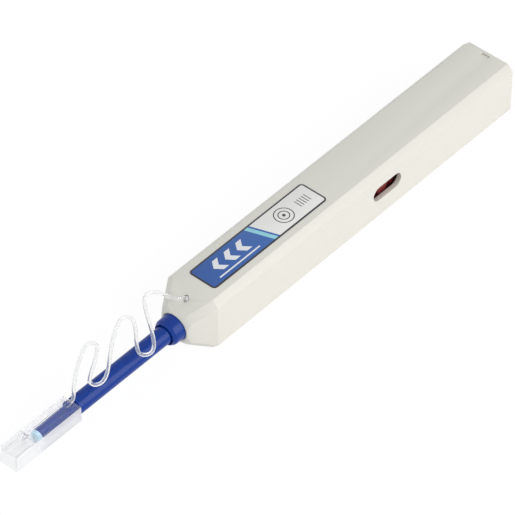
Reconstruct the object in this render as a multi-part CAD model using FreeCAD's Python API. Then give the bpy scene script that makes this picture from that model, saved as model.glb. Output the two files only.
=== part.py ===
"""Click-to-clean pen for fibre connectors: a square sliding housing on a reel carriage with a long nozzle.

Frame: +X points to the rear end of the pen, the nozzle points to -X, +Z is up out of the labelled face.
The origin is the centre of the flat face that the housing lies on. Lengths are millimetres.
Stations along the pen are measured from the front plane of the square housing, and every solid is
moved back by half the housing's length when it is written.
"""
import FreeCAD, Part
import math
import os

V = FreeCAD.Vector
AXIS_X, AXIS_Y, AXIS_Z = V(1, 0, 0), V(0, 1, 0), V(0, 0, 1)

# Housing: a square tube with chamfered long edges and a pyramid nose.
SECTION = 19.0
HALF = SECTION / 2
MID_Z = HALF                     # height of the pen's axis above the resting face
CHAMFER = 2.1
WALL = 1.6
BODY_L = 132.8
END_ROUND = 0.8                  # rounding of the rear edge
NOSE_L = 8.1
MOUTH_LIP = 0.45                 # wall left around the mouth at its rim
INNER = SECTION - 2 * WALL
INNER_CHAMFER = 1.3

# Fits shared by the moving pieces.
SLIDE_FIT = 0.10                 # square and round guides, each side
RUN_FIT = 0.06                   # journals and bores, on the radius
NOZZLE_FIT = 0.08                # nozzle in its guide, on the radius
PRESS_GAP = 0.02                 # drawn gap of a pressed pin
THIN_GAP = 0.3                   # air between pieces that pass each other

# Strokes.
PUSH = 12.0                      # travel of the carriage into the housing
EXTEND = 30.0                    # travel of the nozzle out of the carriage
PLUNGE = 1.0                     # give of the cleaning head in its spring
CAM_TURN = 180.0                 # degrees that one push turns the head

# Front sleeve of the carriage, which ends in the collar at the mouth.
SLEEVE_R = 4.35
COLLAR_FRONT = -12.4
COLLAR_SHOULDER = -11.3
COLLAR_SHOULDER_R = 4.15
COLLAR_RIM_R = 3.55
COUNTERSINK_R = 3.25
COUNTERSINK_L = 0.8
MOUTH_R = SLEEVE_R + SLIDE_FIT

# Nozzle.
NOZZLE_R = 2.82
NOZZLE_BORE_R = 2.0
NOZZLE_FRONT = -49.5
NOZZLE_REAR = 35.0
NOZZLE_FLANGE_R = 3.5
NOZZLE_FLANGE_L = 1.8
TIP_FRONT = -64.0
TIP_REAR_R = 1.9
TIP_FRONT_R = 1.75
TIP_SPIGOT = 5.9
TIP_BORE_R = 1.42
TIP_STEP = -55.3
TIP_SLEEVE_L = 1.4
TIP_SLEEVE_R = 1.62
FERRULE_R = 0.66                 # bore that receives a 1.25 mm ferrule

# Cleaning head and the rod that carries it.
ROD_SIDE = 1.84
ROD_FRONT, ROD_REAR = -50.0, 38.0
ROD_BORE_R = 0.5
HEAD_R = 0.57
HEAD_FRONT = -64.8
HEAD_COLLAR = (-55.0, -54.0)
HEAD_COLLAR_R = 1.25
HEAD_TAIL = ROD_FRONT - PLUNGE - THIN_GAP
HEAD_FLAT = 0.4
HEAD_SPRING_R = 1.0
HEAD_SPRING_WIRE_R = 0.12
HEAD_SPRING_TURNS = 6
THREAD_R = 0.12

# Carriage plates and runners, placed from the inside of the housing.
STOP_FLANGE = (0.2, 2.2)
STOP_FLANGE_R = INNER / 2 - 0.9
BULKHEADS = ((37.5, 39.5), (60.0, 62.0), (100.0, 102.0))
PLATE_GAP, PLATE_T = 0.5, 1.5
PLATE_OUT = INNER / 2 - PLATE_GAP
PLATE_IN = PLATE_OUT - PLATE_T
PLATE_Z = (WALL + 1.4, SECTION - WALL - 1.0)
ROOF_GAP, ROOF_T = 0.2, 0.7
ROOF_TOP = SECTION - WALL - ROOF_GAP
ROOF_Z = (ROOF_TOP - ROOF_T, ROOF_TOP)
ROOF_SIDE = INNER / 2 - INNER_CHAMFER

# Cam barrel that turns the head.
CAM_R = PLATE_IN - 0.4
CAM_FRONT, CAM_REAR = 41.5, 58.0
CAM_TUBE_R = 1.7
CAM_TUBE_FRONT = 0.0
CAM_JOURNAL_R = 2.4
CAM_JOURNAL_REAR = 62.6
CAM_BORE_R = 1.0
CAM_SQUARE_REAR = 44.0
GROOVE_DEPTH = 1.1
GROOVE_END_EXTRA = 0.04          # how much the pockets at the groove's ends exceed it
PIN_R = 0.9
PIN_X = 55.8                     # follower pin in the housing

# Reels, on pins across the carriage.
TAKEUP_X, SUPPLY_X = 74.3, 90.6
AXLE_R = 1.2
REEL_GAP = 0.4                   # air between a reel and the roof above it
REEL_R = ROOF_Z[0] - MID_Z - REEL_GAP
REEL_SIDE, REEL_SETBACK = 1.3, 3.2    # from the wall with the window, and from the plate
REEL_Y = (REEL_SIDE - INNER / 2, PLATE_IN - REEL_SETBACK)
REEL_FLANGE = 0.7
HUB_R = 2.3
TAKEUP_WOUND_R = 3.5
REEL_HOLES = 6
REEL_HOLE_R = 0.95
REEL_RIM = 2.2
REEL_HOLE_PITCH_R = REEL_R - REEL_RIM
RATCHET_TEETH = 16
RATCHET_R = REEL_HOLE_PITCH_R
RATCHET_STEP = 0.5
RATCHET_L = 0.9

# Small leaves on the carriage.
LEAF_T = 0.35
DETENT_X = (10.0, 24.0)
DETENT_HALF = 0.9
PAWL_ROOT, PAWL_ANGLE = (-7.9, -6.3), math.radians(125.6)      # from the take-up pin
BRAKE_ROOT, BRAKE_ANGLE = (9.0, 7.0), math.radians(49.4)       # from the supply pin

# Feed gear on its rack.
GEAR_TEETH = 16
ADDENDUM, DEDENDUM = 0.6, 0.95
PITCH_R = REEL_R - ADDENDUM
MODULE = 2 * PITCH_R / GEAR_TEETH
PRESSURE_ANGLE = math.radians(20)
BACKLASH = 0.12
GEAR_Y = (REEL_Y[1] + 1.2, PLATE_IN - 0.3)
GEAR_HOLE_R = 0.9
GEAR_RIM = 2.6                    # from the pitch line in to the ring of holes
RACK_X = (68.5, 93.0)
RACK_SIDE = 0.1                  # how much wider than the gear the rack is, each side
RACK_TOP = MID_Z - PITCH_R + ADDENDUM

# Guide post of the thread, over the rack, and the full supply winding level with it.
POST_X, POST_R = 64.9, 0.5
POST_SETBACK = 2.6                # from the reel's outer flange
POST_LOW = RACK_TOP + THIN_GAP + 0.1
POST_Z = POST_LOW + POST_R
SUPPLY_WOUND_R = MID_Z - POST_LOW

# Rear plug, its latches and the return spring.
PLUG_DEPTH = 5.2
PLUG_FRONT = BODY_L - PLUG_DEPTH
PLUG_INSET = 0.6
PLUG_BOSS_R = 2.9
PLUG_BOSS_L = 6.0
LATCH_INSET = 2.1
LATCH_X = BODY_L - LATCH_INSET
LATCH_SIZE = (1.3, 3.0)
LATCH_SUNK = 0.45
SPRING_R = 4.0
SPRING_SEAT_L = 3.0
SPRING_WIRE_R = 0.4
SPRING_TURNS = 6.0
COIL_STEPS, WIRE_SIDES = 12, 6     # facets of a coil's turn and of its wire

# Window in the right side.
WINDOW_X, WINDOW_Z = 74.25, MID_Z + 1.4
WINDOW_L, WINDOW_H = 12.5, 5.2

# Label on the top face.
LABEL_X = (3.5, 52.5)
LABEL_MARGIN = 2.3                # from the label to the chamfer
LABEL_HALF = HALF - CHAMFER - LABEL_MARGIN
LABEL_CORNER = 1.3
LABEL_T = 0.12

# Guide cap.
CAP_REAR, CAP_FRONT = -50.1, -75.9
CAP_W, CAP_H = 6.9, 5.6
CAP_EDGE = 0.5
CAP_BORE_R = TIP_REAR_R + 0.07
CAP_BORE_END = -66.1
CAP_WALL_END = -67.0
CAP_SOCKET = 4.6
CAP_LEAD_IN = 0.4                # chamfer at the socket's mouth

# Tether: a moulded wavy strand from the nose to the cap.
TETHER_R = 0.56
TETHER_SIDES = 8
TETHER_BEND_R = 4.0              # largest bend radius
HOLE_X = -3.25
HOLE_SUNK = 0.05
HOLE_POINT = V(HOLE_X, 0, SECTION + (HALF - MOUTH_R - MOUTH_LIP) * HOLE_X / NOSE_L - HOLE_SUNK)
HOLE_SLOPE = math.radians(35)    # rise of the strand's first run above the pen's axis
HOLE_R = 1.05
HOLE_DEPTH = 2.4
ANCHOR_R = 0.85
ANCHOR_SUNK = 0.45
FIRST_RUN, LAST_RUN = 2.3, 1.4    # straight ends of the strand
TAB_X = (-53.4, -51.6)
TAB_Y = (-1.3, 0.5)
TAB_H = 1.3


def box(x0, x1, y0, y1, z0, z1):
    """Box between two corners."""
    return Part.makeBox(x1 - x0, y1 - y0, z1 - z0, V(x0, y0, z0))


def rod_x(radius, x0, x1, y=0.0, z=MID_Z):
    """Round bar along the pen."""
    return Part.makeCylinder(radius, x1 - x0, V(x0, y, z), AXIS_X)


def cone_x(r0, r1, x0, x1):
    """Cone on the pen's axis, with radius r0 at x0 and r1 at x1."""
    return Part.makeCone(r0, r1, x1 - x0, V(x0, 0, MID_Z), AXIS_X)


def pin_y(radius, y0, y1, x, z=MID_Z):
    """Round bar across the pen."""
    return Part.makeCylinder(radius, y1 - y0, V(x, y0, z), AXIS_Y)


def polygon_face(points):
    """Flat face inside a closed outline."""
    return Part.Face(Part.makePolygon(points + points[:1]))


def square_bar(side, chamfer, x0, x1):
    """Square bar on the pen's axis with chamfered long edges."""
    h = side / 2
    c = h - chamfer
    outline = [(h, -c), (h, c), (c, h), (-c, h), (-h, c), (-h, -c), (-c, -h), (c, -h)]
    return polygon_face([V(x0, y, MID_Z + z) for y, z in outline]).extrude(V(x1 - x0, 0, 0))


def coil_spring(radius, wire_r, x0, x1, turns):
    """Open coil spring along the pen between two stations, of facetted wire."""
    steps = int(turns * COIL_STEPS)
    sections = []
    for k in range(steps + 1):
        angle = 2 * math.pi * k / COIL_STEPS
        outward = V(0, math.cos(angle), math.sin(angle))
        centre = V(x0 + wire_r + (x1 - x0 - 2 * wire_r) * k / steps, 0, MID_Z) + outward * radius
        sections.append(wire_section(centre, outward, AXIS_X, wire_r))
    return Part.makeLoft(sections, True, True)


def wire_section(centre, u, w, radius, sides=WIRE_SIDES):
    """Facetted outline of a thin wire at one point, in the plane of u and w."""
    turns = [2 * math.pi * n / sides for n in range(sides)]
    corners = [centre + u * (radius * math.cos(t)) + w * (radius * math.sin(t)) for t in turns]
    return Part.makePolygon(corners + corners[:1])


def strand(points, radius):
    """Thin facetted strand along straight runs, mitred at each bend."""
    along = (points[1] - points[0]).normalize()
    up = along.cross(AXIS_Y).normalize()
    section = wire_section(points[0], up, up.cross(along), radius)
    return Part.makePolygon(points).makePipeShell([section], True, False, 1)


def route_tube(points, radius):
    """Facetted tube along straight runs joined by tangent arcs. Prints its bend radii and volume check."""
    edges, radii, start = [], [], points[0]
    for i in range(1, len(points) - 1):
        before, here, after = points[i - 1], points[i], points[i + 1]
        u = (here - before).normalize()
        w = (after - here).normalize()
        half_turn = u.getAngle(w) / 2
        shorter = min((here - before).Length, (after - here).Length)
        leg = min(0.45 * shorter, TETHER_BEND_R * math.tan(half_turn))
        radii.append(leg / math.tan(half_turn))
        a, b = here - u * leg, here + w * leg
        to_centre = (w - u).normalize()
        centre = here + to_centre * (leg / math.sin(half_turn))
        middle = centre - to_centre * radii[-1]
        edges.append(Part.LineSegment(start, a).toShape())
        edges.append(Part.Arc(a, middle, b).toShape())
        start = b
    edges.append(Part.LineSegment(start, points[-1]).toShape())
    path = Part.Wire(edges)
    up = edges[0].tangentAt(0).cross(AXIS_Y).normalize()
    profile = wire_section(points[0], up, up.cross(edges[0].tangentAt(0)), radius, TETHER_SIDES)
    tube = path.makePipeShell([profile], True, False)
    expected = TETHER_SIDES / 2 * math.sin(2 * math.pi / TETHER_SIDES) * radius ** 2 * path.Length
    print("tether length %.1f mm, volume ratio %.4f" % (path.Length, tube.Volume / expected))
    print("bend radii", " ".join("%.1f" % r for r in radii))
    return tube


def square_outline(x, half):
    """Square across the pen at one station."""
    corners = ((-1, -1), (1, -1), (1, 1), (-1, 1), (-1, -1))
    return Part.makePolygon([V(x, y * half, MID_Z + z * half) for y, z in corners])


def housing_nose():
    """Pyramid nose whose four slopes run into the round mouth."""
    rim = MOUTH_R + MOUTH_LIP
    pyramid = Part.makeLoft([square_outline(-NOSE_L, rim), square_outline(0, HALF)], True, True)
    flare = cone_x(rim, rim + NOSE_L * 1.5, -NOSE_L, 0)
    return pyramid.common(square_bar(SECTION, CHAMFER, -NOSE_L, 0)).common(flare)


def window_cut():
    """Oblong opening through the right side wall."""
    reach = WINDOW_L / 2 - WINDOW_H / 2
    y0, y1 = -HALF - 1, -HALF + WALL + 0.5
    ends = [pin_y(WINDOW_H / 2, y0, y1, WINDOW_X + s * reach, WINDOW_Z) for s in (-1, 1)]
    low = WINDOW_Z - WINDOW_H / 2
    middle = box(WINDOW_X - reach, WINDOW_X + reach, y0, y1, low, low + WINDOW_H)
    return middle.fuse(ends)


def hole_direction():
    """Direction in which the strand leaves the nose."""
    return V(-math.cos(HOLE_SLOPE), 0, math.sin(HOLE_SLOPE))


def rack_teeth():
    """Straight-flanked teeth on the inner floor, in mesh with the feed gear."""
    pitch = math.pi * MODULE
    line_z = MID_Z - PITCH_R
    half_at_pitch = pitch / 4 - BACKLASH / 2
    top = half_at_pitch - ADDENDUM * math.tan(PRESSURE_ANGLE)
    foot = half_at_pitch + DEDENDUM * math.tan(PRESSURE_ANGLE)
    y0, y1 = GEAR_Y[0] - RACK_SIDE, GEAR_Y[1] + RACK_SIDE
    strip = box(RACK_X[0], RACK_X[1], y0, y1, WALL - 0.2, line_z - DEDENDUM)
    count = int((RACK_X[1] - RACK_X[0]) / pitch) // 2
    teeth = []
    for n in range(-count, count + 1):
        x = TAKEUP_X + n * pitch
        if RACK_X[0] + foot < x < RACK_X[1] - foot:
            low, high = line_z - DEDENDUM - 0.05, line_z + ADDENDUM
            outline = [(x - foot, low), (x + foot, low), (x + top, high), (x - top, high)]
            teeth.append(polygon_face([V(a, y0, b) for a, b in outline]).extrude(V(0, y1 - y0, 0)))
    return strip.fuse(teeth)


def make_housing():
    """One-piece housing with its rack and the cam's follower pin moulded in."""
    tube = square_bar(SECTION, CHAMFER, 0, BODY_L)
    rear_edges = [e for e in tube.Edges if all(abs(v.X - BODY_L) < 1e-6 for v in e.Vertexes)]
    tube = tube.makeFillet(END_ROUND, rear_edges)
    shell = tube.fuse(housing_nose())
    shell = shell.cut(square_bar(INNER, INNER_CHAMFER, 0, BODY_L + 1))
    shell = shell.cut(rod_x(MOUTH_R, -NOSE_L - 1, 1))
    shell = shell.cut(window_cut())
    dx, dy = LATCH_SIZE[0] / 2, LATCH_SIZE[1] / 2
    for z0 in (-1, SECTION - WALL - 0.5):
        shell = shell.cut(box(LATCH_X - dx, LATCH_X + dx, -dy, dy, z0, z0 + WALL + 1.5))
    way = hole_direction()
    shell = shell.cut(Part.makeCylinder(HOLE_R, HOLE_DEPTH + NOSE_L / 2, HOLE_POINT - way * HOLE_DEPTH, way))
    pin_low = MID_Z + CAM_R - GROOVE_DEPTH + RUN_FIT * 2
    pin = Part.makeCylinder(PIN_R, SECTION - WALL + 0.3 - pin_low, V(PIN_X, 0, pin_low), AXIS_Z)
    return shell.fuse([rack_teeth(), pin]).removeSplitter()


def make_rear_plug():
    """Plug pressed into the rear end, with two latches and a spring boss."""
    rear = BODY_L - PLUG_INSET
    plug = square_bar(INNER - 2 * PRESS_GAP, INNER_CHAMFER, PLUG_FRONT, rear)
    hollow = square_bar(INNER - 2 * WALL, INNER_CHAMFER / 2, PLUG_FRONT + WALL, rear + 1)
    web = box(PLUG_FRONT, rear - 0.8, -0.6, 0.6, WALL + 1, SECTION - WALL - 1)
    plug = plug.cut(hollow).fuse(web)
    plug = plug.fuse(rod_x(PLUG_BOSS_R, PLUG_FRONT - PLUG_BOSS_L, PLUG_FRONT + 0.5))
    long_x, wide_y = LATCH_SIZE
    length, width = long_x - 2 * SLIDE_FIT, wide_y - 2 * SLIDE_FIT
    x0 = LATCH_X - length / 2
    for z0, z1 in ((LATCH_SUNK, WALL + 0.5), (SECTION - WALL - 0.5, SECTION - LATCH_SUNK)):
        plug = plug.fuse(box(x0, x0 + length, -width / 2, width / 2, z0, z1))
    return plug.removeSplitter()


def make_label():
    """Printed label on the top face."""
    sheet = box(LABEL_X[0], LABEL_X[1], -LABEL_HALF, LABEL_HALF, SECTION, SECTION + LABEL_T)
    corners = [e for e in sheet.Edges if abs(e.Vertexes[0].Z - e.Vertexes[-1].Z) > LABEL_T / 2]
    return sheet.makeFillet(LABEL_CORNER, corners)


def make_tether_anchor():
    """Peg in the nose's blind hole that holds the strand's end."""
    way = hole_direction()
    return Part.makeCylinder(ANCHOR_R, HOLE_DEPTH - ANCHOR_SUNK, HOLE_POINT - way * HOLE_DEPTH, way)


TETHER_ROUTE = (
    (-6.4, 1.3, 18.6), (-7.0, 3.2, 18.5), (-6.9, 5.4, 18.3), (-7.5, 7.4, 18.2),
    (-9.0, 8.6, 18.1), (-10.9, 8.5, 17.9), (-12.9, 6.8, 17.5), (-14.9, 4.2, 17.1), (-17.0, 1.0, 16.6),
    (-19.4, -2.3, 16.4), (-21.8, -5.0, 16.3), (-23.6, -6.3, 16.3), (-25.3, -6.5, 16.2), (-26.7, -5.6, 16.2),
    (-27.1, -4.0, 16.2), (-25.6, -1.9, 16.1), (-23.2, 0.6, 16.1), (-20.5, 3.2, 16.0), (-18.9, 5.3, 16.0),
    (-18.2, 7.0, 16.0), (-18.8, 8.5, 16.0), (-20.3, 9.0, 16.0), (-22.2, 8.3, 16.1), (-25.4, 6.6, 16.1),
    (-28.8, 4.5, 16.0), (-32.1, 2.1, 16.1), (-35.5, -0.5, 16.1), (-38.8, -2.8, 16.0), (-41.2, -3.8, 16.1),
    (-42.8, -3.8, 16.1), (-44.1, -2.9, 16.0), (-44.3, -1.4, 16.0), (-43.2, -0.2, 16.0), (-41.2, 1.0, 15.9),
    (-38.0, 2.8, 15.8), (-34.9, 4.8, 15.6), (-32.7, 6.5, 15.5), (-31.7, 7.9, 15.5), (-32.1, 9.3, 15.4),
    (-33.5, 9.9, 15.3), (-35.4, 9.3, 15.2), (-38.4, 7.8, 14.9), (-41.7, 6.0, 14.5), (-44.9, 3.8, 14.0),
    (-47.3, 2.0, 13.5), (-49.0, 0.4, 13.1),
)


def tether_points():
    """Route of the strand's centreline from the peg to the cap's tab."""
    start = HOLE_POINT - hole_direction() * ANCHOR_SUNK
    tab = V(TAB_X[1], sum(TAB_Y) / 2, MID_Z + CAP_H / 2 + TAB_H / 2)
    first, last = start + hole_direction() * FIRST_RUN, tab + AXIS_X * LAST_RUN
    return [start, first] + [V(*p) for p in TETHER_ROUTE] + [last, tab]


def make_carriage():
    """Carriage: collar and front sleeve, cam bearings, reel plate and spring seat in one moulding."""
    front_l = COLLAR_SHOULDER - COLLAR_FRONT
    body = rod_x(SLEEVE_R, -NOSE_L, BULKHEADS[0][0])
    body = body.fuse(cone_x(COLLAR_SHOULDER_R, SLEEVE_R, COLLAR_SHOULDER, -NOSE_L))
    body = body.fuse(cone_x(COLLAR_RIM_R, COLLAR_SHOULDER_R, COLLAR_FRONT, COLLAR_FRONT + front_l))
    body = body.fuse(rod_x(STOP_FLANGE_R, *STOP_FLANGE))
    side = INNER - 2 * SLIDE_FIT
    for x0, x1 in BULKHEADS:
        body = body.fuse(square_bar(side, INNER_CHAMFER, x0, x1))
    front, middle, rear = BULKHEADS[0][0], BULKHEADS[1][0], BULKHEADS[2][1]
    body = body.fuse(box(front, rear, PLATE_IN, PLATE_OUT, *PLATE_Z))
    body = body.fuse(box(front, middle, -PLATE_OUT, -PLATE_IN, *PLATE_Z))
    body = body.fuse(box(middle, rear, -PLATE_IN, ROOF_SIDE, *ROOF_Z))
    body = body.fuse(box(middle, rear, PLATE_IN, ROOF_SIDE, PLATE_Z[1] - 0.1, ROOF_Z[1]))
    body = body.fuse(rod_x(SPRING_R - SPRING_WIRE_R - THIN_GAP, BULKHEADS[2][1], BULKHEADS[2][1] + SPRING_SEAT_L))
    shoulder = NOZZLE_REAR - NOZZLE_FLANGE_L - EXTEND - THIN_GAP
    guide_r = NOZZLE_R + NOZZLE_FIT
    body = body.cut(rod_x(guide_r, COLLAR_FRONT - 1, NOZZLE_REAR + 1))
    body = body.cut(rod_x(NOZZLE_FLANGE_R + SLIDE_FIT, shoulder, BULKHEADS[0][0]))
    body = body.fuse(pin_y(POST_R, REEL_Y[0] + POST_SETBACK, PLATE_IN + 0.1, POST_X, POST_Z))
    body = body.cut(cone_x(COUNTERSINK_R, guide_r, COLLAR_FRONT, COLLAR_FRONT + COUNTERSINK_L))
    body = body.cut(rod_x(CAM_TUBE_R + RUN_FIT, BULKHEADS[0][0] - 1, BULKHEADS[0][1] + 1))
    body = body.cut(rod_x(CAM_JOURNAL_R + RUN_FIT, BULKHEADS[1][0] - 1, BULKHEADS[1][1] + 1))
    for x in (TAKEUP_X, SUPPLY_X):
        body = body.cut(pin_y(AXLE_R + PRESS_GAP, PLATE_IN - 1, PLATE_OUT + 1, x))
    rack_y = (GEAR_Y[0] - RACK_SIDE - THIN_GAP, GEAR_Y[1] + RACK_SIDE + THIN_GAP)
    rack_way = box(RACK_X[0] - PUSH - 1, RACK_X[1] + 1, *rack_y, WALL, RACK_TOP + THIN_GAP)
    body = body.cut(box(*DETENT_X, -DETENT_HALF - SLIDE_FIT, DETENT_HALF + SLIDE_FIT, 0, MID_Z - NOZZLE_R))
    return body.cut(rack_way).removeSplitter()


def make_axle(x):
    """Headed pin that carries a reel, pressed into the carriage's plate."""
    shank = pin_y(AXLE_R, REEL_Y[0] - 0.2, PLATE_OUT, x)
    return shank.fuse(pin_y(AXLE_R + 0.9, REEL_Y[0] - 0.7, REEL_Y[0] - 0.2, x))


def leaf(points, y0, y1):
    """Thin bent strip across the pen, LEAF_T thick, through points (x, z) of its lower side."""
    outline = [V(x, y0, z) for x, z in points] + [V(x, y0, z + LEAF_T) for x, z in reversed(points)]
    return polygon_face(outline).extrude(V(0, y1 - y0, 0))


def leaf_to(x, roots, radius, angle, y0, y1):
    """Leaf that hangs from the carriage's roof and ends at a radius and angle about a reel's pin."""
    root_z = ROOF_Z[0] - LEAF_T
    tip = (x + radius * math.cos(angle), MID_Z + radius * math.sin(angle))
    return leaf([(x + roots[0], root_z), (x + roots[1], root_z), tip], y0, y1)


def make_takeup_pawl():
    """Leaf from the carriage's roof that keeps the take-up reel from turning back."""
    y0 = REEL_Y[1] + 0.1
    return leaf_to(TAKEUP_X, PAWL_ROOT, RATCHET_R + 2 * THIN_GAP, PAWL_ANGLE, y0, y0 + RATCHET_L - 0.2)


def make_supply_brake():
    """Leaf from the carriage's roof that drags on a flange of the supply reel."""
    y0, y1 = REEL_Y[1] - REEL_FLANGE - 0.2, REEL_Y[1] + 0.2
    return leaf_to(SUPPLY_X, BRAKE_ROOT, REEL_R + THIN_GAP + 0.02, BRAKE_ANGLE, y0, y1)


def make_nozzle_detent():
    """Leaf in the sleeve's slot that holds the nozzle in or out."""
    x0, x1 = DETENT_X
    low = MID_Z - SLEEVE_R + 0.1
    strip = box(x0 + 0.2, x1, -DETENT_HALF, DETENT_HALF, low, low + LEAF_T)
    bump_r = NOZZLE_R + 0.12
    bump = box(x0 + 0.8, x0 + 2.2, -DETENT_HALF, DETENT_HALF, low + LEAF_T, MID_Z - bump_r)
    return strip.fuse(bump).removeSplitter()


def make_cleaning_thread():
    """Thread from the supply reel, round the head's front and back to the take-up reel."""
    y = sum(REEL_Y) / 2
    near, far = 0.25, HEAD_FLAT + THREAD_R + 0.01
    tail, front = HEAD_TAIL - 0.1, HEAD_FRONT - THREAD_R - 0.01
    low = POST_Z - POST_R - THREAD_R - 0.04
    high = MID_Z + TAKEUP_WOUND_R + THREAD_R + 0.08
    out = [V(TAKEUP_X, y, high), V(TAKEUP_X - 1.4, y, high - 0.3), V(CAM_JOURNAL_REAR, 0, MID_Z + near)]
    nose = [V(ROD_FRONT, 0, MID_Z + near), V(tail, 0, MID_Z + far), V(front, 0, MID_Z + far)]
    back = [V(p.x, 0, 2 * MID_Z - p.z) for p in reversed(nose)]
    last = [V(CAM_JOURNAL_REAR, 0, MID_Z - near), V(POST_X - POST_R - 0.3, y, POST_Z + 0.2),
            V(POST_X - POST_R, y, POST_Z - POST_R), V(POST_X + 0.1, y, low), V(SUPPLY_X, y, low)]
    return strand(out + nose + back + last, THREAD_R)


def make_return_spring():
    """Coil spring between the carriage and the rear plug."""
    return coil_spring(SPRING_R, SPRING_WIRE_R, BULKHEADS[2][1], PLUG_FRONT, SPRING_TURNS)


def involute_gear(y0, y1, x):
    """Spur gear across the pen, with a gap between teeth over the rack at rest."""
    base_r = PITCH_R * math.cos(PRESSURE_ANGLE)
    tip_r, root_r = PITCH_R + ADDENDUM, PITCH_R - DEDENDUM

    def involute(r):
        t = math.sqrt(max((r / base_r) ** 2 - 1, 0))
        return t - math.atan(t)

    half = math.pi / 2 / GEAR_TEETH - BACKLASH / 2 / PITCH_R + involute(PITCH_R)
    flank = [base_r + (tip_r - base_r) * k / 4 for k in range(5)]
    points = []
    for n in range(GEAR_TEETH):
        middle = -math.pi / 2 + (n + 0.5) * 2 * math.pi / GEAR_TEETH
        side = [(root_r, half)] + [(r, half - involute(r)) for r in flank]
        polar = [(r, middle - a) for r, a in side] + [(r, middle + a) for r, a in reversed(side)]
        points += [V(x + r * math.cos(a), y0, MID_Z + r * math.sin(a)) for r, a in polar]
    return polygon_face(points).extrude(V(0, y1 - y0, 0))


def make_feed_gear():
    """Gear on the take-up pin that rolls along the housing's rack."""
    gear = involute_gear(*GEAR_Y, TAKEUP_X)
    gear = gear.fuse(pin_y(AXLE_R + 1, GEAR_Y[1], PLATE_IN - 0.1, TAKEUP_X))
    ring = PITCH_R - GEAR_RIM
    for n in range(4):
        a = math.pi * n / 2
        x, z = TAKEUP_X + ring * math.cos(a), MID_Z + ring * math.sin(a)
        gear = gear.cut(pin_y(GEAR_HOLE_R, GEAR_Y[0] - 1, GEAR_Y[1] + 1, x, z))
    return gear.cut(pin_y(AXLE_R + RUN_FIT, GEAR_Y[0] - 1, PLATE_IN + 1, TAKEUP_X))


def make_reel(x):
    """Flanged reel with a ring of holes through the flange behind the window."""
    y0, y1 = REEL_Y
    reel = pin_y(HUB_R, y0, y1, x)
    for side in (y0, y1 - REEL_FLANGE):
        reel = reel.fuse(pin_y(REEL_R, side, side + REEL_FLANGE, x))
    for n in range(REEL_HOLES):
        a = 2 * math.pi * (n + 0.5) / REEL_HOLES
        hx, hz = x + REEL_HOLE_PITCH_R * math.cos(a), MID_Z + REEL_HOLE_PITCH_R * math.sin(a)
        reel = reel.cut(pin_y(REEL_HOLE_R, y0 - 1, y0 + REEL_FLANGE + 0.05, hx, hz))
    return reel.cut(pin_y(AXLE_R + RUN_FIT, y0 - 1, y1 + 1, x))


def make_takeup_reel():
    """Take-up reel with its ratchet ring."""
    y0 = REEL_Y[1]
    points = []
    for n in range(RATCHET_TEETH):
        a, b = [2 * math.pi * (n + k) / RATCHET_TEETH for k in (0, 0.98)]
        for r, t in ((RATCHET_R, a), (RATCHET_R - RATCHET_STEP, b)):
            points.append(V(TAKEUP_X + r * math.cos(t), y0, MID_Z + r * math.sin(t)))
    ratchet = polygon_face(points).extrude(V(0, RATCHET_L, 0))
    ratchet = ratchet.cut(pin_y(AXLE_R + RUN_FIT, y0 - 1, y0 + RATCHET_L + 1, TAKEUP_X))
    return make_reel(TAKEUP_X).fuse(ratchet)


def make_winding(x, radius):
    """Thread wound on a reel's hub."""
    y0, y1 = REEL_Y[0] + REEL_FLANGE, REEL_Y[1] - REEL_FLANGE
    return pin_y(radius, y0, y1, x).cut(pin_y(HUB_R, y0 - 1, y1 + 1, x))


def cam_groove():
    """Half-turn helical groove that the housing's pin follows during one push."""
    half_width = PIN_R + RUN_FIT * 2
    helix = Part.makeHelix(PUSH * 360 / CAM_TURN, PUSH, CAM_R)
    low, high = CAM_R - GROOVE_DEPTH, CAM_R + 1
    lead = math.atan2(PUSH * 360 / CAM_TURN, 2 * math.pi * CAM_R)
    across = V(0, -math.sin(lead), math.cos(lead)) * half_width
    corners = [V(low, 0, 0) - across, V(high, 0, 0) - across, V(high, 0, 0) + across, V(low, 0, 0) + across]
    groove = Part.Wire(helix.Edges).makePipeShell([Part.makePolygon(corners + corners[:1])], True, True)
    groove.rotate(V(0, 0, 0), AXIS_Y, 90)
    groove.translate(V(PIN_X - PUSH, 0, MID_Z))
    ends = []
    for x, side in ((PIN_X - PUSH, -1), (PIN_X, 1)):
        foot = V(x, 0, MID_Z + side * (low - GROOVE_END_EXTRA))
        ends.append(Part.makeCylinder(half_width + GROOVE_END_EXTRA, GROOVE_DEPTH + 1, foot, V(0, 0, side)))
    return groove, ends


def make_cam_barrel():
    """Barrel that turns the head, with its square drive tube and rear journal."""
    barrel = rod_x(CAM_R, CAM_FRONT, CAM_REAR)
    groove, ends = cam_groove()
    barrel = barrel.cut(groove)
    for end in ends:
        barrel = barrel.cut(end)
    thrust_r = CAM_R - 2.2
    barrel = barrel.fuse(rod_x(CAM_TUBE_R, CAM_TUBE_FRONT, CAM_FRONT))
    barrel = barrel.fuse(rod_x(thrust_r, CAM_REAR, BULKHEADS[1][0] - SLIDE_FIT))
    barrel = barrel.fuse(rod_x(thrust_r, BULKHEADS[0][1] + SLIDE_FIT, CAM_FRONT))
    barrel = barrel.fuse(rod_x(CAM_JOURNAL_R, CAM_REAR, CAM_JOURNAL_REAR))
    barrel = barrel.cut(square_bar(ROD_SIDE + 0.16, 0.05, CAM_TUBE_FRONT - 1, CAM_SQUARE_REAR))
    return barrel.cut(rod_x(CAM_BORE_R, CAM_SQUARE_REAR - 1, CAM_JOURNAL_REAR + 1))


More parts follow.
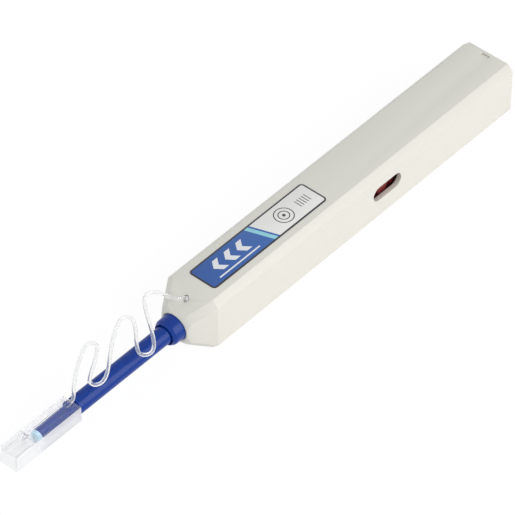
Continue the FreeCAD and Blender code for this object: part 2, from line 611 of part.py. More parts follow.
def make_cam_clip():
    """Ring that keeps the barrel in its rear bearing."""
    x0, x1 = BULKHEADS[1][1] + 0.08, CAM_JOURNAL_REAR - 0.05
    return rod_x(CAM_JOURNAL_R + 0.9, x0, x1).cut(rod_x(CAM_JOURNAL_R, x0 - 1, x1 + 1))


def make_feed_rod():
    """Square rod in the drive tube, bored for the thread, that reaches the head."""
    rod = square_bar(ROD_SIDE, 0.15, ROD_FRONT, ROD_REAR)
    return rod.cut(rod_x(ROD_BORE_R, ROD_FRONT - 1, ROD_REAR + 1))


def make_head_spring():
    """Small spring that presses the head against the connector."""
    return coil_spring(HEAD_SPRING_R, HEAD_SPRING_WIRE_R, HEAD_COLLAR[1], ROD_FRONT, HEAD_SPRING_TURNS)


def make_cleaning_head():
    """Sprung pin whose front face presses the thread on the ferrule."""
    head = rod_x(HEAD_R, HEAD_FRONT, HEAD_TAIL)
    head = head.cut(box(HEAD_FRONT - 1, HEAD_TAIL + 1, -HEAD_R, HEAD_R, MID_Z + HEAD_FLAT, MID_Z + 1))
    head = head.cut(box(HEAD_FRONT - 1, HEAD_TAIL + 1, -HEAD_R, HEAD_R, MID_Z - 1, MID_Z - HEAD_FLAT))
    collar = rod_x(HEAD_COLLAR_R, *HEAD_COLLAR)
    for side in (-1, 1):
        z = MID_Z + side * (HEAD_FLAT + 1)
        collar = collar.cut(box(HEAD_COLLAR[0] - 1, HEAD_COLLAR[1] + 1, -0.25, 0.25, z - 1, z + 1))
    return head.fuse(collar)


def make_nozzle_tube():
    """Long nozzle tube with the stop flange at its rear."""
    tube = rod_x(NOZZLE_R, NOZZLE_FRONT, NOZZLE_REAR)
    tube = tube.fuse(rod_x(NOZZLE_FLANGE_R, NOZZLE_REAR - NOZZLE_FLANGE_L, NOZZLE_REAR))
    front = [e for e in tube.Edges if all(abs(v.X - NOZZLE_FRONT) < 1e-6 for v in e.Vertexes)]
    tube = tube.makeChamfer(0.25, front)
    return tube.cut(rod_x(NOZZLE_BORE_R, NOZZLE_FRONT - 1, NOZZLE_REAR + 1))


def make_nozzle_tip():
    """Slim tip whose spigot is pressed into the nozzle tube."""
    tip = cone_x(TIP_FRONT_R, TIP_REAR_R, TIP_FRONT, NOZZLE_FRONT)
    tip = tip.fuse(rod_x(NOZZLE_BORE_R - PRESS_GAP, NOZZLE_FRONT, NOZZLE_FRONT + TIP_SPIGOT))
    tip = tip.cut(rod_x(TIP_BORE_R, TIP_STEP, NOZZLE_FRONT + TIP_SPIGOT + 1))
    return tip.cut(rod_x(FERRULE_R + 0.15, TIP_FRONT - 1, TIP_STEP + 1))


def make_tip_sleeve():
    """Pale guide at the tip's end that takes the ferrule."""
    x0 = TIP_FRONT - TIP_SLEEVE_L
    sleeve = cone_x(TIP_SLEEVE_R, TIP_FRONT_R, x0, TIP_FRONT)
    front = [e for e in sleeve.Edges if all(abs(v.X - x0) < 1e-6 for v in e.Vertexes)]
    sleeve = sleeve.makeChamfer(0.4, front)
    return sleeve.cut(rod_x(FERRULE_R, x0 - 1, TIP_FRONT + 1))


def make_guide_cap():
    """Clear cap: a bore for the tip behind, a square socket for a plug in front."""
    y, z = CAP_W / 2, CAP_H / 2
    block = box(CAP_FRONT, CAP_REAR, -y, y, MID_Z - z, MID_Z + z)
    long_edges = [e for e in block.Edges if abs(e.Vertexes[0].X - e.Vertexes[-1].X) > 1]
    block = block.makeFillet(CAP_EDGE, long_edges)
    s = CAP_SOCKET / 2
    block = block.cut(box(CAP_FRONT - 1, CAP_WALL_END, -s, s, MID_Z - s, MID_Z + s))
    mouth, throat = square_outline(CAP_FRONT, s + CAP_LEAD_IN), square_outline(CAP_FRONT + CAP_LEAD_IN, s)
    block = block.cut(Part.makeLoft([mouth, throat], True, True))
    block = block.cut(rod_x(CAP_BORE_R, CAP_BORE_END, CAP_REAR + 1))
    block = block.cut(rod_x(FERRULE_R + 0.1, CAP_WALL_END - 1, CAP_BORE_END + 1))
    return block.fuse(box(*TAB_X, *TAB_Y, MID_Z + z - 0.1, MID_Z + z + TAB_H))


def write(name, shape):
    """Move a solid to the part's frame and write it."""
    solid = shape.Solids[0] if len(shape.Solids) == 1 else shape
    placed = solid.copy()
    placed.translate(V(-BODY_L / 2, 0, 0))
    placed.exportStep("parts/%s.step" % name)
    print("%-18s solids %d valid %s volume %.1f" % (name, len(shape.Solids), shape.isValid(), shape.Volume))


def main():
    """Build every piece and write one file for each."""
    os.makedirs("parts", exist_ok=True)
    write("housing", make_housing())
    write("rear_plug", make_rear_plug())
    write("label", make_label())
    write("tether_anchor", make_tether_anchor())
    write("tether", route_tube(tether_points(), TETHER_R))
    write("carriage", make_carriage())
    write("takeup_axle", make_axle(TAKEUP_X))
    write("supply_axle", make_axle(SUPPLY_X))
    write("takeup_pawl", make_takeup_pawl())
    write("supply_brake", make_supply_brake())
    write("nozzle_detent", make_nozzle_detent())
    write("cleaning_thread", make_cleaning_thread())
    write("return_spring", make_return_spring())
    write("feed_gear", make_feed_gear())
    write("takeup_reel", make_takeup_reel())
    write("takeup_winding", make_winding(TAKEUP_X, TAKEUP_WOUND_R))
    write("supply_reel", make_reel(SUPPLY_X))
    write("supply_winding", make_winding(SUPPLY_X, SUPPLY_WOUND_R))
    write("cam_barrel", make_cam_barrel())
    write("cam_clip", make_cam_clip())
    write("feed_rod", make_feed_rod())
    write("head_spring", make_head_spring())
    write("cleaning_head", make_cleaning_head())
    write("nozzle_tube", make_nozzle_tube())
    write("nozzle_tip", make_nozzle_tip())
    write("tip_sleeve", make_tip_sleeve())
    write("guide_cap", make_guide_cap())


main()
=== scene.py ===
"""Looks of a click-to-clean pen for fibre connectors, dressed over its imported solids.

Lengths are metres in the frame of the solids: +X to the rear end, the nozzle to -X, +Z out of
the labelled face.
"""
import itertools
import logging
import math
from collections.abc import Callable
from dataclasses import dataclass
from enum import Enum

import bmesh
import bpy
from mathutils import Matrix, Vector


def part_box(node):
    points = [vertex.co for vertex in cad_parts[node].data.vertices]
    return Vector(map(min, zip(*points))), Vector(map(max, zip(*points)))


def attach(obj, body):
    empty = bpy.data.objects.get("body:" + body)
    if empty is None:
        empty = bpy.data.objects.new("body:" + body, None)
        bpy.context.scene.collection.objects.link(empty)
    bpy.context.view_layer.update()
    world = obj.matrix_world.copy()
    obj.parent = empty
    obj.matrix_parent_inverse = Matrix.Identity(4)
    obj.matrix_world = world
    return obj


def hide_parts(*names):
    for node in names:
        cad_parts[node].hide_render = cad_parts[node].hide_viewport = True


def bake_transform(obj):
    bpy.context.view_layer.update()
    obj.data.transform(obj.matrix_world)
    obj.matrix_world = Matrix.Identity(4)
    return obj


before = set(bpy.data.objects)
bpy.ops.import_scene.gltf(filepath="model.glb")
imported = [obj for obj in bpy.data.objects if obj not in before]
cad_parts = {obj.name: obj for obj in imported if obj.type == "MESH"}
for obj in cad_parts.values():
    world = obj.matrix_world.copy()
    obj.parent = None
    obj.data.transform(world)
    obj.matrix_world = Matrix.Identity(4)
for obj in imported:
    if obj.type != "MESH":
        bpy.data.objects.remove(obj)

LOG = logging.getLogger("cleaning_pen")
MM = 0.001
MID = Vector((0.0, 0.0, (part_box("housing")[0].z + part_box("housing")[1].z) / 2))
FRONT = -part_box("housing")[1].x         # front plane of the square housing, behind the nose
LABEL_CORNER = 1.3 * MM

Triple = tuple[float, float, float]     # a place, or a stretch along each axis
Colour = Triple


def station(millimetres: float) -> float:
    """Place along the pen, given in millimetres from the housing's front plane."""
    return FRONT + millimetres * MM


# ---------------------------------------------------------------- shader building


class Value:
    """A number in a node tree. Operators on it add Math nodes."""

    def __init__(self, nodes: "NodeTree", socket: bpy.types.NodeSocket) -> None:
        """Wrap one socket of a node tree."""
        self.nodes = nodes
        self.socket = socket

    def _math(self, operation: str, *values: "Value | float") -> "Value":
        """Add one Math node.

        Args:
            operation: The node's operation.
            values: Its inputs in order.

        Returns:
            The node's output.
        """
        sockets = dict(enumerate(values))
        node = self.nodes.node("ShaderNodeMath", {"operation": operation}, sockets)
        return Value(self.nodes, node.outputs[0])

    def __add__(self, other: "Value | float") -> "Value":
        """Sum."""
        return self._math("ADD", self, other)

    def __radd__(self, other: float) -> "Value":
        """Sum with a number on the left."""
        return self._math("ADD", other, self)

    def __sub__(self, other: "Value | float") -> "Value":
        """Difference."""
        return self._math("SUBTRACT", self, other)

    def __rsub__(self, other: float) -> "Value":
        """Difference from a number on the left."""
        return self._math("SUBTRACT", other, self)

    def __mul__(self, other: "Value | float") -> "Value":
        """Product."""
        return self._math("MULTIPLY", self, other)

    def __rmul__(self, other: float) -> "Value":
        """Product with a number on the left."""
        return self._math("MULTIPLY", other, self)

    def __truediv__(self, other: "Value | float") -> "Value":
        """Quotient."""
        return self._math("DIVIDE", self, other)

    def __pow__(self, other: float) -> "Value":
        """Power."""
        return self._math("POWER", self, other)

    def __abs__(self) -> "Value":
        """Absolute value."""
        return self._math("ABSOLUTE", self)

    def over(self, other: "Value | float") -> "Value":
        """The larger of two values."""
        return self._math("MAXIMUM", self, other)

    def under(self, other: "Value | float") -> "Value":
        """The smaller of two values."""
        return self._math("MINIMUM", self, other)

    def wrapped(self, period: float) -> "Value":
        """Distance from the nearest multiple of a period."""
        return self._math("PINGPONG", self, period / 2)

    def inside(self, soft: float) -> "Value":
        """Mask that is 1 where a signed distance is negative.

        Args:
            soft: Width over which the mask fades.

        Returns:
            A value from 0 to 1.
        """
        node = self.nodes.node(
            "ShaderNodeMapRange",
            {"interpolation_type": "SMOOTHSTEP"},
            {"Value": self, "From Min": soft / 2, "From Max": -soft / 2},
        )
        return Value(self.nodes, node.outputs[0])


class NodeTree:
    """The nodes of a material or of the world."""

    def __init__(self, tree: bpy.types.NodeTree) -> None:
        """Wrap a node tree."""
        self.tree = tree

    def node(self, kind: str, settings: dict | None = None,
             sockets: dict | None = None) -> bpy.types.Node:
        """Add a node.

        Args:
            kind: The node's type.
            settings: Its properties, set first.
            sockets: Values or links of its inputs, by name or number.

        Returns:
            The new node.
        """
        made = self.tree.nodes.new(kind)
        for key, value in (settings or {}).items():
            setattr(made, key, value)
        for key, value in (sockets or {}).items():
            self.feed(made.inputs[key], value)
        return made

    def feed(self, socket: bpy.types.NodeSocket, value: object) -> None:
        """Link a socket or a Value to an input, or set the input to a plain value."""
        if isinstance(value, Value):
            value = value.socket
        if isinstance(value, bpy.types.NodeSocket):
            self.tree.links.new(value, socket)
        elif isinstance(value, tuple) and len(value) == 3 and len(socket.default_value) == 4:
            socket.default_value = (*value, 1.0)
        else:
            socket.default_value = value

    def seen(self) -> Value:
        """1 for rays by which the background is seen, directly or through gloss and clear plastic."""
        path = self.node("ShaderNodeLightPath").outputs
        names = ("Is Camera Ray", "Is Glossy Ray", "Is Transmission Ray")
        camera, glossy, clear = (Value(self, path[name]) for name in names)
        return camera.over(glossy).over(clear)


class Shader(NodeTree):
    """One material with its Principled shader."""

    def __init__(self, name: str) -> None:
        """Start a node material with this name."""
        self.material = bpy.data.materials.new(name)
        self.material.use_nodes = True
        super().__init__(self.material.node_tree)
        self.surface = self.tree.nodes["Principled BSDF"]

    def set(self, **values: object) -> None:
        """Feed inputs of the Principled shader, named with underscores for spaces."""
        for name, value in values.items():
            self.feed(self.surface.inputs[name.replace("_", " ")], value)

    def place(self) -> bpy.types.NodeSocket:
        """Object coordinates."""
        return self.node("ShaderNodeTexCoord").outputs["Object"]

    def axes(self, place: bpy.types.NodeSocket | None = None) -> tuple[Value, Value, Value]:
        """The three parts of a place, by default of the object coordinates."""
        split = self.node("ShaderNodeSeparateXYZ", None, {0: place or self.place()})
        return tuple(Value(self, out) for out in split.outputs)

    def moved(self, centre: Vector, scale: Triple = (1.0, 1.0, 1.0)) -> bpy.types.NodeSocket:
        """Object coordinates counted from a centre and scaled."""
        shift = tuple(-c * s for c, s in zip(centre, scale))
        sockets = {"Vector": self.place(), "Location": shift, "Scale": scale}
        return self.node("ShaderNodeMapping", None, sockets).outputs[0]

    def noise(self, size: float, detail: float = 2.0, stretch: Triple = (1.0, 1.0, 1.0)) -> Value:
        """Soft noise.

        Args:
            size: Length of one blotch in metres.
            detail: Number of finer layers.
            stretch: How much denser it is along each axis.

        Returns:
            A value about one half.
        """
        place = self.moved(Vector((0.013, 0.007, 0.003)), stretch)
        sockets = {"Vector": place, "Scale": 1.0 / size, "Detail": detail}
        return Value(self, self.node("ShaderNodeTexNoise", None, sockets).outputs[0])

    def mix(self, mask: Value, off: object, on: object) -> bpy.types.NodeSocket:
        """Mix two colours: off where the mask is 0, on where it is 1."""
        sockets = {0: mask, 6: off, 7: on}
        settings = {"data_type": "RGBA", "clamp_factor": True}
        return self.node("ShaderNodeMix", settings, sockets).outputs[2]

    def shaded(self, colour: object, factor: Value) -> bpy.types.NodeSocket:
        """A colour scaled by a value."""
        sockets = {0: colour, "Scale": factor}
        return self.node("ShaderNodeVectorMath", {"operation": "SCALE"}, sockets).outputs[0]

    def bump(self, height: Value, depth: float, strength: float = 1.0) -> None:
        """Feed a height, in parts of a depth in metres, to the surface's normal."""
        sockets = {"Height": height, "Distance": depth, "Strength": strength}
        normal = self.node("ShaderNodeBump", None, sockets).outputs[0]
        self.feed(self.surface.inputs["Normal"], normal)

    def blended(self, factor: "Value | float", off: bpy.types.NodeSocket,
                on: bpy.types.NodeSocket) -> bpy.types.NodeSocket:
        """Mix two surface shaders: off where the factor is 0, on where it is 1."""
        return self.node("ShaderNodeMixShader", None, {0: factor, 1: off, 2: on}).outputs[0]

    def show(self, surface: bpy.types.NodeSocket) -> None:
        """Make a shader the material's surface in place of the plain Principled one."""
        self.feed(self.tree.nodes["Material Output"].inputs["Surface"], surface)


# ---------------------------------------------------------------- finishes


@dataclass(frozen=True)
class MouldedPlastic:
    """Opaque moulded plastic with a fine spark-eroded grain, flow clouds and rubbed patches."""

    name: str
    colour: Colour
    roughness: float = 0.45
    grain: float = 0.35 * MM
    depth: float = 0.012 * MM
    clouding: float = 0.05
    ior: float = 1.5

    def build(self) -> bpy.types.Material:
        """Make the material."""
        shader = Shader(self.name)
        clouds = shader.noise(14 * MM, 3.0, (0.45, 1.0, 1.0))
        specks = shader.noise(self.grain, 2.0)
        mottle = clouds * self.clouding - (specks - 0.5) * (self.clouding * 0.5)
        tone = 1.0 - self.clouding / 2 + mottle
        rubbed = shader.noise(6 * MM, 4.0, (0.3, 1.0, 1.0))
        rough = self.roughness - 0.05 + rubbed * 0.1
        shader.set(Base_Color=shader.shaded(self.colour, tone), Roughness=rough)
        shader.set(IOR=self.ior)
        shader.bump(specks + rubbed * 0.4, self.depth)
        return shader.material


@dataclass(frozen=True)
class ClearPlastic:
    """Clear moulded plastic, with ripples of the mould."""

    name: str
    tint: Colour
    roughness: float
    clear: float = 1.0

    def build(self) -> bpy.types.Material:
        """Make the material."""
        shader = Shader(self.name)
        ripple = shader.noise(2.2 * MM, 3.0, (0.5, 1.0, 1.0))
        tone = 0.985 + ripple * 0.02
        shader.set(Base_Color=shader.shaded(self.tint, tone), Roughness=self.roughness + ripple * 0.04)
        shader.set(IOR=1.47, Transmission_Weight=self.clear)
        shader.bump(ripple, 0.01 * MM, 0.4)
        return shader.material


@dataclass(frozen=True)
class CapPlastic:
    """Clear plastic of the cap: frosted in front and on the right flank, with the wall of its bore
    about the tip mostly left out.
    """

    name: str
    frost_from: float                   # place along the pen before which it is frosted
    flank: float                        # half of its width
    rise: float                         # half of its height
    bore: float = 2.2 * MM
    tint: Colour = (0.99, 0.99, 1.0)
    roughness: float = 0.03
    ior: float = 1.25
    clear: float = 0.93
    haze: Colour = (0.98, 0.98, 1.0)
    backlit: float = 0.25               # share of the haze that lets light through
    frost: float = 0.6                  # roughness that the frosting adds
    fade: float = 2.0 * MM
    skin: float = 0.15 * MM             # depth under the outside that counts as its skin
    flank_haze: float = 0.75
    front_haze: float = 0.12
    skin_haze: float = 0.33             # added to the front's haze on its skin
    bore_gone: float = 0.8              # how far the bore's wall is left out
    front_gone: float = 0.78            # how far the front lets straight through

    def build(self) -> bpy.types.Material:
        """Make the material."""
        shader = Shader(self.name)
        x, y, z = shader.axes()
        up = z - MID.z
        ripple = shader.noise(2.2 * MM, 3.0, (0.5, 1.0, 1.0))
        front = (x - self.frost_from).inside(self.fade)
        right = self.right_flank(y)
        skin = self.on_skin(y, up)
        misty = (front * skin).over(right * 0.7)
        tone = 0.985 + ripple * 0.02
        shader.set(Base_Color=shader.shaded(self.tint, tone), IOR=self.ior)
        shader.set(Transmission_Weight=self.clear)
        shader.set(Roughness=self.roughness + ripple * 0.03 + misty * self.frost)
        hole = ((y * y + up * up) ** 0.5 - self.bore).inside(0.02 * MM)
        shader.set(Alpha=1.0 - (hole * self.bore_gone).over(front * self.front_gone))
        shader.bump(ripple, 0.02 * MM, 0.5)
        misted = right * (1.0 - front * 0.7) * self.flank_haze
        misted = misted + front * (self.front_haze + skin * self.skin_haze)
        shader.show(shader.blended(misted, shader.surface.outputs[0], self.mist(shader)))
        return shader.material

    def right_flank(self, y: Value) -> Value:
        """Mask of the right flank."""
        flanks = (self.flank - self.skin - abs(y)).inside(0.1 * MM)
        return flanks * (0.3 - (y / self.flank) * 0.7).over(0.0)

    def on_skin(self, y: Value, up: Value) -> Value:
        """Mask of the outside, which leaves out the socket and the bore."""
        depth = (abs(y) - self.flank).over(abs(up) - self.rise)
        return (-self.skin - depth).inside(0.1 * MM)

    def mist(self, shader: Shader) -> bpy.types.NodeSocket:
        """The white haze, lit from both sides."""
        lit = shader.node("ShaderNodeBsdfDiffuse", None, {"Color": self.haze})
        through = shader.node("ShaderNodeBsdfTranslucent", None, {"Color": self.haze})
        return shader.blended(self.backlit, lit.outputs[0], through.outputs[0])


@dataclass(frozen=True)
class PrintedLabel:
    """Laminated print: a dark rim, a blue field with arrows, a band, a pale field with a sign."""

    name: str
    centre: Vector
    half_length: float
    half_width: float
    corner: float
    rim: float = 0.56 * MM
    ink: float = 0.06 * MM              # softness of the print's edges
    deep_blue: Colour = (0.012, 0.085, 0.36)
    light_blue: Colour = (0.035, 0.16, 0.50)
    pale: Colour = (0.90, 0.90, 0.875)
    band: Colour = (0.30, 0.68, 0.80)
    white: Colour = (0.85, 0.87, 0.90)
    dark: Colour = (0.02, 0.022, 0.03)
    rim_dark: Colour = (0.006, 0.008, 0.016)
    arrows_y: float = 0.6 * MM
    sign_x: float = 11.0 * MM
    ticks_x: float = 19.2 * MM

    def build(self) -> bpy.types.Material:
        """Make the material."""
        shader = Shader(self.name)
        x, y, _ = shader.axes(shader.moved(self.centre))
        fibres = shader.noise(0.5 * MM, 2.0)
        blue = shader.mix((x / self.half_length) * 0.5 + 0.5, self.deep_blue, self.light_blue)
        divide = x + y * 0.35 - 2.6 * MM
        colour = shader.mix(divide.inside(self.ink), self.pale, blue)
        band = (abs(divide + 1.5 * MM) - 0.75 * MM).inside(self.ink)
        colour = shader.mix(band, colour, self.band)
        colour = shader.mix(self.arrows(x, y), colour, self.white)
        colour = shader.mix(self.round_sign(x, y), colour, self.dark)
        edge = self.outline(x, y) + self.rim
        colour = shader.mix((0.0 - edge).inside(self.ink), colour, self.rim_dark)
        tone = 0.97 + fibres * 0.06
        scuffs = shader.noise(3 * MM, 4.0, (0.25, 1.0, 1.0))
        shader.set(Base_Color=shader.shaded(colour, tone), Roughness=0.30 + scuffs * 0.12)
        shader.set(IOR=1.5, Coat_Weight=0.35, Coat_Roughness=0.18)
        shader.bump(scuffs, 0.01 * MM)
        return shader.material

    def outline(self, x: Value, y: Value) -> Value:
        """Signed distance from the label's rounded outline."""
        across = (abs(x) - (self.half_length - self.corner)).over(0.0)
        along = (abs(y) - (self.half_width - self.corner)).over(0.0)
        return (across * across + along * along) ** 0.5 - self.corner

    def arrows(self, x: Value, y: Value) -> Value:
        """Three arrow heads that point to the nozzle, and a line under them."""
        slant = x - abs(y - self.arrows_y) * 0.8 + 17.5 * MM
        from_middle = abs(slant - 5.0 * MM)
        row = abs(from_middle - 5.0 * MM).under(from_middle) - 1.1 * MM
        heads = row.over(abs(y - self.arrows_y) - 2.3 * MM).inside(self.ink)
        line = (abs(y + 3.1 * MM) - 0.25 * MM).over(abs(x + 11.5 * MM) - 8.5 * MM)
        return heads + line.inside(self.ink)

    def round_sign(self, x: Value, y: Value) -> Value:
        """Sign of a fibre's end face, two rings and a dot, with a row of ticks beside it."""
        across = x - self.sign_x
        radius = (across * across + y * y) ** 0.5
        rings = (abs(abs(radius - 2.35 * MM) - 0.65 * MM) - 0.16 * MM).inside(self.ink)
        dot = (radius - 0.55 * MM).inside(self.ink)
        ticks = (x - 16.2 * MM).wrapped(1.0 * MM) - 0.14 * MM
        row = ticks.over(abs(x - self.ticks_x) - 2.6 * MM).over(abs(y) - 1.5 * MM).inside(self.ink)
        return rings + dot + row


@dataclass(frozen=True)
class DrawnSteel:
    """Spring steel with fine lines from drawing."""

    name: str
    colour: Colour = (0.62, 0.62, 0.63)

    def build(self) -> bpy.types.Material:
        """Make the material."""
        shader = Shader(self.name)
        lines = shader.noise(0.3 * MM, 3.0, (6.0, 1.0, 1.0))
        shader.set(Base_Color=shader.shaded(self.colour, 0.9 + lines * 0.2), Metallic=1.0)
        shader.set(Roughness=0.25 + lines * 0.15)
        shader.bump(lines, 0.005 * MM)
        return shader.material


@dataclass(frozen=True)
class WovenThread:
    """White lint-free thread, in fine turns side by side, with painted shade in the grooves between
    turns.
    """

    name: str
    pitch: float = 0.3 * MM
    colour: Colour = (0.82, 0.82, 0.78)

    def build(self) -> bpy.types.Material:
        """Make the material."""
        shader = Shader(self.name)
        turn = shader.axes()[1].wrapped(self.pitch) / (self.pitch / 2)
        fibres = shader.noise(0.12 * MM, 3.0)
        # Each turn is lighter on its crest and darker in the groove to the next: painted shade, on top
        # of the fibres' random tone.
        tone = 0.72 + turn * 0.2 + fibres * 0.16
        shader.set(Base_Color=shader.shaded(self.colour, tone), Roughness=0.75 + fibres * 0.15)
        shader.set(Sheen_Weight=0.2)
        shader.bump(turn + fibres * 0.5, 0.05 * MM)
        return shader.material


class Finish(Enum):
    """The finishes of the pen, by the record's material slot."""

    SHELL = "ivory_shell"
    BLUE = "blue_nozzle"
    GUIDE = "pale_guide"
    CLEAR = "clear_guard"
    STRAND = "clear_strand"
    PEG = "milky_peg"
    LABEL = "printed_label"
    REEL = "maroon_reel"
    ACETAL = "white_acetal"
    STEEL = "spring_steel"
    THREAD = "lint_free_thread"


def make_finishes() -> dict[Finish, bpy.types.Material]:
    """Make every material once.

    Returns:
        The material of each finish.
    """
    low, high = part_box("label")
    half = (high - low) / 2
    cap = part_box("guide_cap")[1]
    recipes = {
        Finish.SHELL: MouldedPlastic("ivory_plastic", (0.80, 0.785, 0.72), 0.42),
        Finish.BLUE: MouldedPlastic(
            "blue_plastic", (0.001, 0.038, 0.29), 0.22, depth=0.003 * MM, ior=1.34),
        Finish.GUIDE: MouldedPlastic("pale_blue_plastic", (0.55, 0.78, 0.92), 0.3, depth=0.004 * MM),
        Finish.CLEAR: CapPlastic("cap_plastic", station(-66.6), cap.y, cap.z - MID.z),
        Finish.STRAND: ClearPlastic("strand_plastic", (1.0, 1.0, 1.0), 0.08, 0.82),
        Finish.PEG: ClearPlastic("peg_plastic", (0.95, 0.95, 0.95), 0.3, 0.25),
        Finish.LABEL: PrintedLabel("label_print", (low + high) / 2, half.x, half.y, LABEL_CORNER),
        Finish.REEL: MouldedPlastic("maroon_plastic", (0.20, 0.026, 0.03), 0.35, depth=0.006 * MM),
        Finish.ACETAL: MouldedPlastic("white_acetal", (0.80, 0.80, 0.78), 0.3, depth=0.004 * MM),
        Finish.STEEL: DrawnSteel("spring_steel"),
        Finish.THREAD: WovenThread("cleaning_thread"),
    }
    return {finish: recipe.build() for finish, recipe in recipes.items()}


# ---------------------------------------------------------------- mesh building


@dataclass
class Workshop:
    """Turns bmeshes into dressed pieces that ride on the pen's bodies."""

    finishes: dict[Finish, bpy.types.Material]
    crease: float = math.radians(28)    # bend from which an edge is shaded sharp
    flat_from: float = 40 * MM * MM     # area from which a face is shaded flat

    def piece(self, name: str, mesh: bmesh.types.BMesh, finish: Finish) -> bpy.types.Object:
        """Make an object of a bmesh.

        Args:
            name: The piece's name.
            mesh: Its shape, in place. It is freed.
            finish: Its finish.

        Returns:
            The new object.
        """
        data = bpy.data.meshes.new(name)
        for face in mesh.faces:
            face.smooth = face.calc_area() < self.flat_from
        mesh.to_mesh(data)
        mesh.free()
        data.set_sharp_from_angle(angle=self.crease)
        data.materials.append(self.finishes[finish])
        made = bpy.data.objects.new(name, data)
        bpy.context.scene.collection.objects.link(made)
        LOG.info("%s: %d faces, %s", name, len(data.polygons), finish.value)
        return made

    def copy_of(self, node: str) -> bmesh.types.BMesh:
        """A solid's mesh as one merged bmesh, with flat faces joined up."""
        mesh = bmesh.new()
        mesh.from_mesh(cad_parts[node].data)
        bmesh.ops.remove_doubles(mesh, verts=mesh.verts, dist=0.002 * MM)
        bmesh.ops.dissolve_limit(
            mesh, angle_limit=math.radians(0.5), use_dissolve_boundaries=False,
            verts=mesh.verts, edges=mesh.edges, delimit={"NORMAL"},
        )
        return mesh

    def soften(self, mesh: bmesh.types.BMesh, width: float, least: float = 28.0,
               segments: int = 2, where: Callable[[Vector], bool] | None = None) -> None:
        """Round the edges of a bmesh.

        Args:
            mesh: The mesh to change.
            width: How far the rounding reaches on each side.
            least: Smallest bend in degrees that is rounded.
            segments: Facets of the rounding.
            where: Test of an edge's middle that says if it is rounded.
        """
        edges = [
            e for e in mesh.edges
            if len(e.link_faces) == 2 and e.calc_face_angle() > math.radians(least)
            and (where is None or where((e.verts[0].co + e.verts[1].co) / 2))
        ]
        bmesh.ops.bevel(
            mesh, geom=edges, offset=width, offset_type="OFFSET", affect="EDGES",
            segments=segments, profile=0.5, material=-1, clamp_overlap=True,
        )

    def turned(self, profile: list[tuple[float, float]], steps: int = 96,
               axis: Vector = Vector((1, 0, 0)), centre: Vector = MID) -> bmesh.types.BMesh:
        """Turn a closed profile about an axis.

        Args:
            profile: Corners as (place along the axis, radius), in metres.
            steps: Facets round the axis.
            axis: Direction of the axis.
            centre: A point on the axis.

        Returns:
            The closed, turned mesh.
        """
        out = axis.orthogonal().normalized()
        mesh = bmesh.new()
        foot = centre - axis * centre.dot(axis)
        corners = [mesh.verts.new(foot + axis * along + out * radius) for along, radius in profile]
        edges = [mesh.edges.new((v, corners[i - 1])) for i, v in enumerate(corners)]
        bmesh.ops.spin(mesh, geom=corners + edges, cent=centre, axis=axis, angle=2 * math.pi,
                       steps=steps, use_merge=True)
        bmesh.ops.remove_doubles(mesh, verts=mesh.verts, dist=0.001 * MM)
        bmesh.ops.recalc_face_normals(mesh, faces=mesh.faces)
        return mesh

    def dress(self, node: str, finish: Finish, body: str, rounding: float = 0.0) -> None:
        """Finish a solid as it is, or as a copy with rounded edges that replaces it.

        Args:
            node: The solid's name.
            finish: Its finish.
            body: The body that it belongs to.
            rounding: Width of the rounding, or 0 to keep the solid itself.
        """
        if not rounding:
            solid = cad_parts[node]
            solid.data.materials.clear()
            solid.data.materials.append(self.finishes[finish])
            LOG.info("%s: kept, %s", node, finish.value)
            return
        mesh = self.copy_of(node)
        self.soften(mesh, rounding)
        made = self.piece(node + "_rounded", mesh, finish)
        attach(made, body)
        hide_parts(node)

    def stretched(self, node: str, finish: Finish, bodies: tuple[str, str],
                  gives: tuple[float, float] | None = None) -> None:
        """Replace a solid by a merged copy of it, fixed in place and attached to no body.

        Args:
            node: The solid's name.
            finish: Its finish.
            bodies: The body at its rear end, and the one at its front end; not used.
            gives: Places along the pen between which it would stretch, by default its two ends; not
                used.
        """
        made = self.piece(node + "_soft", self.copy_of(node), finish)
        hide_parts(node)
        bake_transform(made)


# ---------------------------------------------------------------- sub-assemblies


